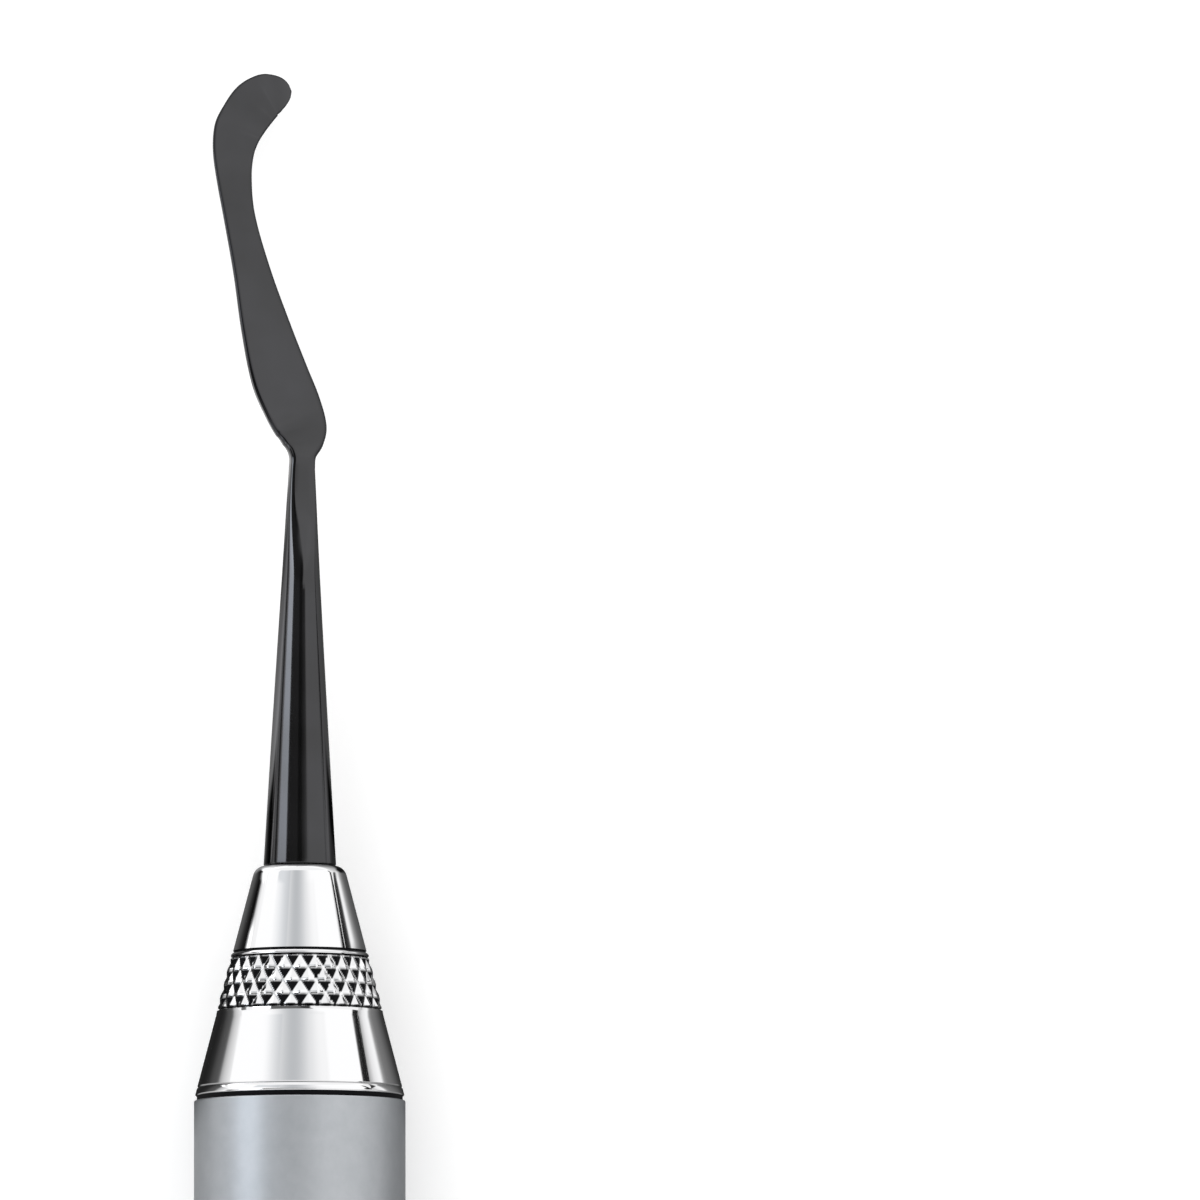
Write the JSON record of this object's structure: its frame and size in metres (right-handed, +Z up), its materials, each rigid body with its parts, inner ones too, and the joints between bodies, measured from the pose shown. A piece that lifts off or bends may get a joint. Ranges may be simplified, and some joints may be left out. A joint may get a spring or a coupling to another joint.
{
  "type": "composite spatula",
  "caption": "Double-ended dental composite spatula: satin grip, knurled mirror-polished cones, black-coated paddle and curled blade.",
  "frame": {"origin": "middle of the grip's lowest facet, on the surface that the instrument lies on", "axes": "+X along the instrument towards the paddle end, +Z up, +Y to the side that the paddle sweeps to"},
  "size_m": [0.1707, 0.0109, 0.01],
  "materials": {
    "satin_steel": "satin",
    "mirror_steel": "polished",
    "black_coated_steel": "gloss"
  },
  "bodies": {
    "root": {"grip_tube": "satin_steel", "paddle_ferrule": "mirror_steel", "hook_ferrule": "mirror_steel", "paddle_tip": "black_coated_steel", "hook_tip": "black_coated_steel"}
  },
  "joints": []
}
